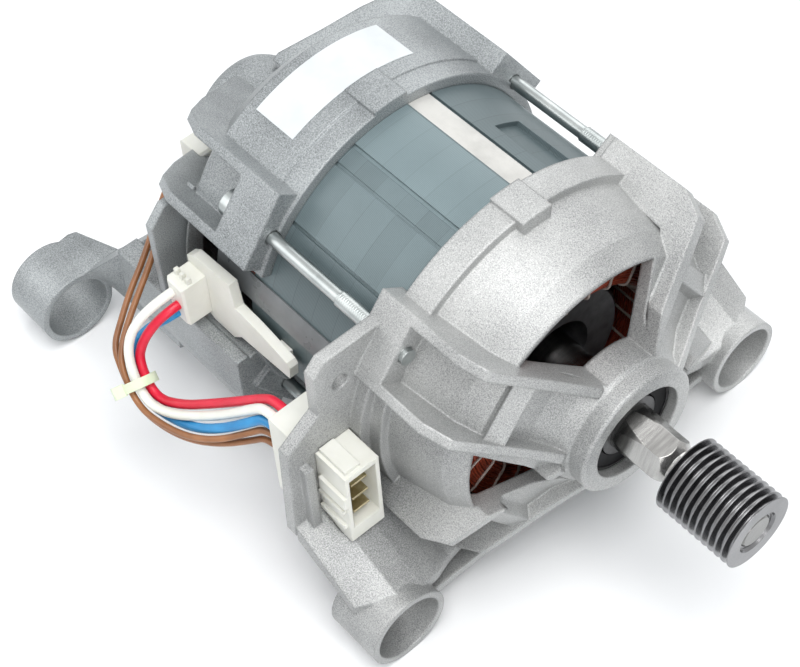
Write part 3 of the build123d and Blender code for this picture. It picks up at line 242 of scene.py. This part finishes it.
# Marks of the metal and plastic finishes: where the noise is darkest and palest, the shares of the roughness
# between which they lie, and their depth
metalMarks = {"low": 0.3, "high": 0.7, "smoother": 0.75, "rougher": 1.3, "depth": 0.1 * mm}
plasticMarks = {"low": 0.3, "high": 0.7, "smoother": 0.85, "rougher": 1.2, "depth": 0.1 * mm, "bump": 0.08}
throughLight = {"radius": (0.002, 0.002, 0.0015), "scale": 0.6}  # how far light goes into a pale plastic


def metalMaterial(name, dark, pale, rough, metal=1.0, edge=0.25 * mm, grain=400.0, bump=0.05, stretch=None,
                  fade=None):
    mat, tree, shader, coords = newMaterial(name)
    along = axisOf(tree, coords, "X")
    if stretch is not None:
        mapping = tree.nodes.new("ShaderNodeMapping")
        mapping.inputs["Scale"].default_value = stretch
        tree.links.new(coords, mapping.inputs["Vector"])
        coords = mapping.outputs["Vector"]
    marks = noiseOf(tree, coords, grain, detail=4.0, rough=0.6)
    colour = rampOf(tree, marks, [(metalMarks["low"], dark), (metalMarks["high"], pale)])
    if fade is not None:  # darker from a place along the shaft line on
        start, share = fade
        beyond = mathOf(tree, "GREATER_THAN", along, start)
        colour = mixOf(tree, "MULTIPLY", beyond, colour, (share, share, share))
    tree.links.new(colour, shader.inputs["Base Color"])
    shader.inputs["Metallic"].default_value = metal
    roughness = rangeOf(tree, marks, rough * metalMarks["smoother"], rough * metalMarks["rougher"])
    tree.links.new(roughness, shader.inputs["Roughness"])
    normal = bumpOf(tree, marks, bump, metalMarks["depth"], roundEdges(tree, edge))
    tree.links.new(normal, shader.inputs["Normal"])
    return mat


def plasticMaterial(name, dark, pale, rough, through=0.0, edge=0.35 * mm, grain=90.0, specular=0.5):
    mat, tree, shader, coords = newMaterial(name)
    marks = noiseOf(tree, coords, grain, detail=3.0, rough=0.55)
    colour = rampOf(tree, marks, [(plasticMarks["low"], dark), (plasticMarks["high"], pale)])
    tree.links.new(colour, shader.inputs["Base Color"])
    roughness = rangeOf(tree, marks, rough * plasticMarks["smoother"], rough * plasticMarks["rougher"])
    tree.links.new(roughness, shader.inputs["Roughness"])
    shader.inputs["Subsurface Weight"].default_value = through
    shader.inputs["Subsurface Radius"].default_value = throughLight["radius"]
    shader.inputs["Subsurface Scale"].default_value = throughLight["scale"]
    shader.inputs["Specular IOR Level"].default_value = specular
    normal = bumpOf(tree, marks, plasticMarks["bump"], plasticMarks["depth"], roundEdges(tree, edge))
    tree.links.new(normal, shader.inputs["Normal"])
    return mat


castMat = castMaterial("cast_aluminium", casting)
rearShadedMat = castMaterial("rear_cast_aluminium_painted_shade", rearCastingShaded)
stackMat = stackMaterial("painted_laminations", stack)
pulleyMat = metalMaterial("machined_pulley", (0.15, 0.15, 0.154), (0.27, 0.27, 0.277), 0.24, grain=60.0,
                          bump=0.03)
shaftMat = metalMaterial("ground_shaft", (0.34, 0.337, 0.327), (0.48, 0.475, 0.463), 0.20, grain=120.0,
                         stretch=(8, 1, 1), bump=0.02, fade=(8.0 * mm, 0.5))
zincMat = metalMaterial("zinc_plating", (0.33, 0.36, 0.36), (0.50, 0.53, 0.525), 0.30, grain=120.0,
                        edge=0.2 * mm)
# Bearing rings, cages and preload washer: steel painted near black, as painted shade of the hub recesses they
# sit in
shadedRingMat = metalMaterial("bearing_steel", (0.040, 0.040, 0.041), (0.09, 0.09, 0.092), 0.3)
ballMat = metalMaterial("ball_steel", (0.12, 0.12, 0.122), (0.20, 0.20, 0.203), 0.16, edge=0.05 * mm)
rotorMat = metalMaterial("rotor_steel", (0.05, 0.05, 0.052), (0.13, 0.13, 0.135), 0.42, metal=0.7)
cageMat = metalMaterial("rotor_cage", (0.07, 0.07, 0.073), (0.17, 0.17, 0.175), 0.45, metal=0.6, grain=200.0,
                        bump=0.15)
copperMat = metalMaterial("enamelled_copper", (0.16, 0.022, 0.010), (0.40, 0.075, 0.035), 0.34, metal=0.45,
                          grain=260.0)
magnetMat = metalMaterial("ferrite", (0.03, 0.03, 0.032), (0.07, 0.07, 0.072), 0.6, metal=0.1)
contactMat = metalMaterial("tinned_brass", (0.40, 0.33, 0.18), (0.68, 0.60, 0.40), 0.30)
ivoryMat = plasticMaterial("ivory_plastic", (0.70, 0.695, 0.63), (0.78, 0.775, 0.715), 0.42, through=0.15)
blackMat = plasticMaterial("black_plastic", (0.02, 0.02, 0.02), (0.05, 0.05, 0.05), 0.45)
sealMat = plasticMaterial("seal_rubber", (0.010, 0.010, 0.011), (0.028, 0.028, 0.029), 0.55, specular=0.08)
paperMat = plasticMaterial("slot_paper", (0.60, 0.55, 0.43), (0.75, 0.70, 0.58), 0.7)
laceMat = plasticMaterial("lacing_cord", (0.20, 0.165, 0.145), (0.38, 0.32, 0.285), 0.5, edge=0.1 * mm)
filmMat = plasticMaterial("grey_film", (0.11, 0.118, 0.121), (0.18, 0.189, 0.193), 0.28, edge=0.1 * mm)
labelMat = plasticMaterial("blank_label", (0.62, 0.645, 0.65), (0.70, 0.725, 0.73), 0.50, edge=0.05 * mm)
tieMat = plasticMaterial("tie_nylon", (0.62, 0.72, 0.48), (0.76, 0.84, 0.64), 0.38, through=0.4)
redMat = plasticMaterial("red_sleeve", (0.62, 0.006, 0.030), (0.80, 0.016, 0.055), 0.34, edge=0.1 * mm)
whiteMat = plasticMaterial("white_sleeve", (0.76, 0.76, 0.68), (0.86, 0.86, 0.80), 0.36, edge=0.1 * mm)
blueMat = plasticMaterial("blue_sleeve", (0.010, 0.20, 0.46), (0.025, 0.30, 0.62), 0.34, edge=0.1 * mm)
brownMat = plasticMaterial("brown_sleeve", (0.20, 0.075, 0.022), (0.36, 0.15, 0.055), 0.38, edge=0.1 * mm)

looks = {
    "front_shield": castMat, "rear_shield": rearShadedMat, "stator_core": stackMat, "slot_liners": paperMat,
    "slot_windings": copperMat, "front_end_winding": copperMat, "front_winding_strands": copperMat,
    "rear_end_winding": copperMat, "winding_ties": laceMat, "rotor_core": rotorMat, "rotor_cage": cageMat,
    "shaft": shaftMat, "pulley": pulleyMat, "preload_washer": shadedRingMat, "tacho_magnet": magnetMat,
    "tacho_coil": blackMat, "tacho_lid": blackMat, "tacho_plug": ivoryMat, "tie_bolts": zincMat,
    "terminal_rail": ivoryMat, "terminal_pins": contactMat, "terminal_header": ivoryMat,
    "insulating_film": filmMat, "plate_connector": ivoryMat, "connector_contacts": contactMat,
    "type_plate": labelMat, "cable_tie": tieMat,
}
for place in ("front", "rear"):
    looks[place + "_bearing_outer_ring"] = shadedRingMat
    looks[place + "_bearing_inner_ring"] = shadedRingMat
    looks[place + "_bearing_balls"] = ballMat
    looks[place + "_bearing_cage"] = shadedRingMat
    looks[place + "_bearing_seals"] = sealMat


def paint(obj, mat):
    obj.data.materials.clear()
    obj.data.materials.append(mat)


for node, mat in looks.items():
    paint(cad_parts[node], mat)
print("nodes painted", len(looks))

# Wires, in millimetres: from the terminal header and the speed sensor, through the tie, to the connector
wires = {
    "red_wire": {"length": 96.7, "diameter": 3.0, "look": redMat, "slot": "red_cable", "points": [
        (-154.2, -66.0, 1.4), (-154.2, -69.6, 1.4), (-156.4, -74.6, -3.2), (-157.8, -78.8, -9.2),
        (-157.6, -81.3, -15.8), (-148.4, -83.4, -23.1), (-138.0, -80.6, -19.0), (-126.3, -75.4, -11.0),
        (-116.5, -72.2, -2.8), (-108.7, -70.3, 4.4), (-104.0, -69.6, 8.0), (-99.0, -69.6, 8.0),
    ]},
    "white_wire": {"length": 102.2, "diameter": 3.0, "look": whiteMat, "slot": "white_cable", "points": [
        (-156.2, -66.0, 5.6), (-156.2, -70.6, 5.6), (-158.6, -77.6, 0.4), (-159.4, -82.2, -6.4),
        (-157.5, -84.6, -14.7), (-148.2, -86.7, -22.0), (-138.4, -84.5, -20.4), (-126.6, -79.5, -14.0),
        (-116.5, -76.0, -5.4), (-108.7, -73.7, 3.0), (-104.0, -72.9, 7.0), (-99.0, -72.9, 7.0),
    ]},
    "blue_wire": {"length": 99.0, "diameter": 3.0, "look": blueMat, "slot": "blue_cable", "points": [
        (-155.4, -66.0, -2.9), (-155.4, -69.4, -2.9), (-159.4, -73.8, -6.8), (-162.0, -79.0, -12.6),
        (-159.9, -83.3, -18.1), (-150.6, -85.3, -25.4), (-139.0, -83.7, -24.4), (-127.0, -82.6, -17.6),
        (-116.7, -79.6, -9.4), (-108.8, -75.8, -1.8), (-104.0, -73.3, 2.8), (-99.0, -73.3, 2.8),
    ]},
    "brown_wire_upper": {"length": 140.5, "diameter": 2.0, "look": brownMat, "slot": "brown_cable", "points": [
        (-190.0, -31.0, 8.0), (-190.0, -35.5, 8.0), (-186.2, -43.4, 6.3), (-182.0, -51.3, 1.5),
        (-177.2, -59.5, -3.0), (-172.6, -68.0, -6.5), (-168.0, -76.0, -9.3), (-163.6, -82.7, -12.2),
        (-159.0, -86.8, -16.0), (-149.8, -88.9, -23.4), (-138.9, -88.2, -22.2), (-127.3, -86.2, -18.6),
        (-117.2, -82.6, -12.9), (-109.0, -77.2, -6.2), (-103.8, -73.8, -1.4), (-99.0, -73.8, -1.4),
    ]},
    "brown_wire_lower": {"length": 142.9, "diameter": 2.0, "look": brownMat, "slot": "brown_cable", "points": [
        (-193.5, -31.0, 8.0), (-193.5, -36.0, 8.0), (-189.4, -44.0, 5.0), (-185.4, -52.0, -0.6),
        (-180.5, -60.5, -5.0), (-176.0, -69.8, -9.0), (-171.2, -77.2, -12.0), (-166.6, -83.8, -14.6),
        (-160.5, -86.2, -18.1), (-151.2, -88.3, -25.4), (-139.2, -87.3, -25.4), (-127.6, -85.0, -22.0),
        (-117.4, -80.8, -17.0), (-109.0, -76.4, -10.6), (-103.8, -73.9, -6.0), (-99.0, -73.9, -6.0),
    ]},
}

cordMesh = {"steps": 10, "roundness": 5}  # steps between points, and points in a quarter of the section
for name, wire in wires.items():
    curve = bpy.data.curves.new(name + "_cord", "CURVE")
    curve.dimensions = "3D"
    curve.resolution_u = cordMesh["steps"]
    curve.bevel_depth = wire["diameter"] * mm / 2
    curve.bevel_resolution = cordMesh["roundness"]
    curve.use_fill_caps = True
    spline = curve.splines.new("NURBS")
    spline.points.add(len(wire["points"]) - 1)
    for point, place in zip(spline.points, wire["points"]):
        point.co = (*(c * mm for c in place), 1.0)
    spline.order_u = 3
    spline.use_endpoint_u = True
    spline.resolution_u = cordMesh["steps"]
    cordObj = bpy.data.objects.new(name + "_cord", curve)
    bpy.context.scene.collection.objects.link(cordObj)
    curve.materials.append(wire["look"])
    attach(cordObj, "stator")
    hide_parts(name)
print("wires laid", len(wires))

# Shared by the strands and their lacing: the front end winding's section, in millimetres
crown = {"outer": 44.0, "inner": 30.6, "front": -57.0, "back": -78.4, "corner": 2.6, "cornerPoints": 9}


# Points (x, radius) along a section: out along the outside, a quarter circle at each front corner, and back
# along the inside
def crownCourse(section, inset):
    outer, inner, front = section["outer"] - inset, section["inner"] + inset, section["front"] - inset
    bend = section["corner"]
    arc = np.linspace(0, np.pi / 2, section["cornerPoints"])
    first = np.column_stack([front - bend + bend * np.sin(arc), outer - bend + bend * np.cos(arc)])
    second = np.column_stack([front - bend + bend * np.cos(arc), inner + bend - bend * np.sin(arc)])
    return np.vstack([[(section["back"], outer)], first, second, [(section["back"], inner)]])


# Places at equal steps of pitch along a line of points, by the length run so far
def spread(points, pitch, start):
    runs = np.linalg.norm(np.diff(points, axis=0), axis=1)
    along = np.concatenate([[0], np.cumsum(runs)])
    steps = np.arange(start, along[-1], pitch)
    return np.column_stack([np.interp(steps, along, points[:, k]) for k in range(points.shape[1])])


# Closed tubes along closed paths, each path an array of points: every ring of a tube is a circle across
# the path's own tangent, and the last ring joins the first
def tubeLoops(paths, radius, sides):
    verts, faces, base = [], [], 0
    angles = np.arange(sides) * 2 * np.pi / sides
    for path in paths:
        tangent = np.roll(path, -1, axis=0) - np.roll(path, 1, axis=0)
        tangent /= np.linalg.norm(tangent, axis=1)[:, None]
        away = path - path.mean(axis=0)
        up = away - tangent * np.sum(away * tangent, axis=1)[:, None]
        up /= np.linalg.norm(up, axis=1)[:, None]
        across = np.cross(tangent, up)
        around = np.cos(angles)[None, :, None] * up[:, None] + np.sin(angles)[None, :, None] * across[:, None]
        ring = path[:, None] + radius * around
        count = len(path)
        verts.append(ring.reshape(-1, 3))
        here = np.arange(count)[:, None] * sides + np.arange(sides)[None]
        ahead = np.roll(here, -1, axis=0)
        quad = np.stack([here, np.roll(here, -1, axis=1), np.roll(ahead, -1, axis=1), ahead], axis=-1)
        faces.append(quad.reshape(-1, 4) + base)
        base += count * sides
    return np.vstack(verts), np.vstack(faces)


def meshObject(name, verts, faces, mat):
    mesh = bpy.data.meshes.new(name)
    mesh.from_pydata((verts * mm).tolist(), [], faces)
    mesh.polygons.foreach_set("use_smooth", np.ones(len(faces), dtype=bool))
    mesh.materials.append(mat)
    mesh.update()
    obj = bpy.data.objects.new(name, mesh)
    bpy.context.scene.collection.objects.link(obj)
    return obj


# Strands: loops about the shaft line side by side over the section, two deep, each waving a little in
# x and radius by sines of its own phases
strand = {
    "radius": 0.42, "pitch": 0.92, "insets": (0.55, 1.30), "shift": 0.45, "steps": 120, "sides": 6, "seed": 7,
    "wave": 0.10, "across": 0.5, "second": 0.6, "swings": (5, 11), "sways": (4, 9),
}
dice = np.random.default_rng(strand["seed"])
turnAngles = np.arange(strand["steps"]) * 2 * np.pi / strand["steps"]
strandPaths = []
for layer, inset in enumerate(strand["insets"]):
    for place, radius in spread(crownCourse(crown, inset), strand["pitch"], strand["shift"] * layer):
        phases = dice.uniform(0, 2 * np.pi, 4)
        slow, fast = strand["swings"]
        swing = np.sin(slow * turnAngles + phases[0]) + strand["second"] * np.sin(fast * turnAngles + phases[1])
        slow, fast = strand["sways"]
        sway = np.sin(slow * turnAngles + phases[2]) + strand["second"] * np.sin(fast * turnAngles + phases[3])
        reach = radius + strand["across"] * strand["wave"] * swing
        path = [place + strand["wave"] * sway, reach * np.cos(turnAngles), reach * np.sin(turnAngles)]
        strandPaths.append(np.column_stack(path))
strandVerts, strandFaces = tubeLoops(strandPaths, strand["radius"], strand["sides"])
strandObj = meshObject("wound_strands", strandVerts, strandFaces.tolist(), copperMat)
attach(strandObj, "stator")
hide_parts("front_winding_strands")
print("strands", len(strandPaths))

# Lacing: cords round the section between the slots, each leaning by up to a few degrees, in proportion to
# how far forward it is, one way outside and the other way inside
lacing = {"radius": 0.45, "count": 24, "lean": 3.0, "leastLean": 0.5, "steps": 64, "sides": 8, "back": -79.3,
          "bend": 2.4}
laceSection = crownCourse({**crown, "back": lacing["back"], "corner": lacing["bend"]}, 0)
laceSection = np.vstack([laceSection, laceSection[:1]])
lacePitch = np.linalg.norm(np.diff(laceSection, axis=0), axis=1).sum() / lacing["steps"]
section = spread(laceSection, lacePitch, 0)[:lacing["steps"]]
forward = (section[:, 0] - lacing["back"]) / (crown["front"] - lacing["back"])
share = (section[:, 1] - crown["inner"]) / (crown["outer"] - crown["inner"]) - 0.5
lacePaths = []
for index in range(lacing["count"]):
    middle = np.radians((index + 0.5) * 360 / lacing["count"])
    lean = np.radians(lacing["lean"]) * dice.uniform(lacing["leastLean"], 1.0)
    angle = middle + lean * 2 * share * np.clip(forward, 0, 1)
    path = [section[:, 0], section[:, 1] * np.cos(angle), section[:, 1] * np.sin(angle)]
    lacePaths.append(np.column_stack(path))
laceVerts, laceFaces = tubeLoops(lacePaths, lacing["radius"], lacing["sides"])
laceObj = meshObject("winding_lacing", laceVerts, laceFaces.tolist(), laceMat)
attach(laceObj, "stator")
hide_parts("winding_ties")
print("lacing", len(lacePaths))

# Threads of the tie bolts: a closed rod round each bolt's line whose radius follows a triangle wave of
# place over pitch less turn over a full turn, which makes one helical ridge
thread = {
    "circle": 56.8, "angles": (142.5, 33.5, 213.5, 322.5), "crest": 2.62, "depth": 0.34, "pitch": 0.8,
    "from": -101.2, "to": -87.6, "sides": 24, "perPitch": 6,
}
rings = int((thread["to"] - thread["from"]) / thread["pitch"] * thread["perPitch"])
alongThread = np.linspace(thread["from"], thread["to"], rings + 1)[:, None]
roundThread = (np.arange(thread["sides"]) * 2 * np.pi / thread["sides"])[None]
phase = np.mod(alongThread / thread["pitch"] - roundThread / (2 * np.pi), 1.0)
threadRadius = thread["crest"] - thread["depth"] * (1 - np.abs(2 * phase - 1))
threadVerts, threadFaces, threadBase = [], [], 0
for angle in thread["angles"]:
    middleY = thread["circle"] * np.cos(np.radians(angle))
    middleZ = thread["circle"] * np.sin(np.radians(angle))
    rod = np.stack([alongThread + 0 * roundThread, middleY + threadRadius * np.cos(roundThread),
                    middleZ + threadRadius * np.sin(roundThread)], axis=-1).reshape(-1, 3)
    rod = np.vstack([rod, [(thread["from"], middleY, middleZ), (thread["to"], middleY, middleZ)]])
    here = np.arange(rings)[:, None] * thread["sides"] + np.arange(thread["sides"])[None]
    beside = np.roll(here, -1, axis=1)
    quads = np.stack([here, beside, beside + thread["sides"], here + thread["sides"]], axis=-1).reshape(-1, 4)
    first, firstBeside = here[0], beside[0]
    last, lastBeside = here[-1] + thread["sides"], beside[-1] + thread["sides"]
    startCap = np.column_stack([np.full(thread["sides"], len(rod) - 2), firstBeside, first])
    endCap = np.column_stack([np.full(thread["sides"], len(rod) - 1), last, lastBeside])
    threadVerts.append(rod)
    threadFaces += [(face + threadBase).tolist() for face in (*quads, *startCap, *endCap)]
    threadBase += len(rod)
threadObj = meshObject("bolt_threads", np.vstack(threadVerts), threadFaces, zincMat)
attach(threadObj, "stator")
print("threads", len(thread["angles"]))

# Floor: pale and matt under the motor, where it keeps the shadow, and plain white further out
floor = {
    "side": 3.0, "height": -62.4 * mm, "colour": (0.92, 0.92, 0.92, 1), "rough": 0.9, "near": 0.45, "far": 1.0,
}
white = (1, 1, 1, 1)
floorMesh = bpy.data.meshes.new("studio_floor")
half = floor["side"] / 2
corners = [(x, y, floor["height"]) for x, y in ((-half, -half), (half, -half), (half, half), (-half, half))]
floorMesh.from_pydata(corners, [], [(0, 1, 2, 3)])
floorObj = bpy.data.objects.new("studio_floor", floorMesh)
bpy.context.scene.collection.objects.link(floorObj)
floorMat, floorTree, floorShader, floorCoords = newMaterial("floor_white")
floorShader.inputs["Base Color"].default_value = floor["colour"]
floorShader.inputs["Roughness"].default_value = floor["rough"]
floorPath = floorTree.nodes.new("ShaderNodeLightPath")
away = floorTree.nodes.new("ShaderNodeVectorMath")
away.operation = "LENGTH"
floorTree.links.new(floorCoords, away.inputs[0])
fading = floorTree.nodes.new("ShaderNodeMapRange")
fading.interpolation_type = "SMOOTHSTEP"
fading.inputs["From Min"].default_value = floor["near"]
fading.inputs["From Max"].default_value = floor["far"]
floorTree.links.new(away.outputs["Value"], fading.inputs["Value"])
seen = mathOf(floorTree, "MAXIMUM", floorPath.outputs["Is Camera Ray"], floorPath.outputs["Is Glossy Ray"])
glow = floorTree.nodes.new("ShaderNodeEmission")
glow.inputs["Color"].default_value = white
floorMix = floorTree.nodes.new("ShaderNodeMixShader")
floorTree.links.new(mathOf(floorTree, "MULTIPLY", fading.outputs["Result"], seen), floorMix.inputs["Fac"])
floorTree.links.new(floorShader.outputs["BSDF"], floorMix.inputs[1])
floorTree.links.new(glow.outputs["Emission"], floorMix.inputs[2])
floorTree.links.new(floorMix.outputs["Shader"], floorTree.nodes["Material Output"].inputs["Surface"])
floorMesh.materials.append(floorMat)
print("floor laid")

lightsAim = (-0.11, 0, 0)
lights = [
    {"name": "key", "place": (0.15, -0.15, 0.95), "size": 0.7, "power": 9.0},
    {"name": "fill", "place": (-0.75, -0.55, 0.45), "size": 0.7, "power": 2.4},
    {"name": "rear", "place": (-0.35, 0.75, 0.65), "size": 0.8, "power": 3.2},
    {"name": "side", "place": (0.75, -0.45, 0.30), "size": 0.5, "power": 2.6},
]
for light in lights:
    lampData = bpy.data.lights.new(light["name"], "AREA")
    lampData.energy = light["power"]
    lampData.size = light["size"]
    lamp = bpy.data.objects.new(light["name"], lampData)
    lamp.location = light["place"]
    aim = Vector(lightsAim) - Vector(light["place"])
    lamp.rotation_euler = aim.to_track_quat("-Z", "Y").to_euler()
    bpy.context.scene.collection.objects.link(lamp)

# Surround: what lights the motor, and the white that the camera, metal and clear pieces see
studio = {"surround": (0.86, 0.92, 0.98, 1), "strength": 0.42, "seenStrength": 1.0}
world = bpy.data.worlds.new("studio")
bpy.context.scene.world = world
world.use_nodes = True
sky = world.node_tree
sky.nodes.clear()
skyOut = sky.nodes.new("ShaderNodeOutputWorld")
pathInfo = sky.nodes.new("ShaderNodeLightPath")
surround = sky.nodes.new("ShaderNodeBackground")
surround.inputs["Color"].default_value = studio["surround"]
surround.inputs["Strength"].default_value = studio["strength"]
backdrop = sky.nodes.new("ShaderNodeBackground")
backdrop.inputs["Color"].default_value = white
backdrop.inputs["Strength"].default_value = studio["seenStrength"]
choose = sky.nodes.new("ShaderNodeMixShader")
seen = mathOf(sky, "MAXIMUM", pathInfo.outputs["Is Camera Ray"], pathInfo.outputs["Is Glossy Ray"])
seen = mathOf(sky, "MAXIMUM", seen, pathInfo.outputs["Is Transmission Ray"])
sky.links.new(seen, choose.inputs["Fac"])
sky.links.new(surround.outputs["Background"], choose.inputs[1])
sky.links.new(backdrop.outputs["Background"], choose.inputs[2])
sky.links.new(choose.outputs["Shader"], skyOut.inputs["Surface"])

bpy.context.scene.view_settings.view_transform = "Standard"
print("studio lit")
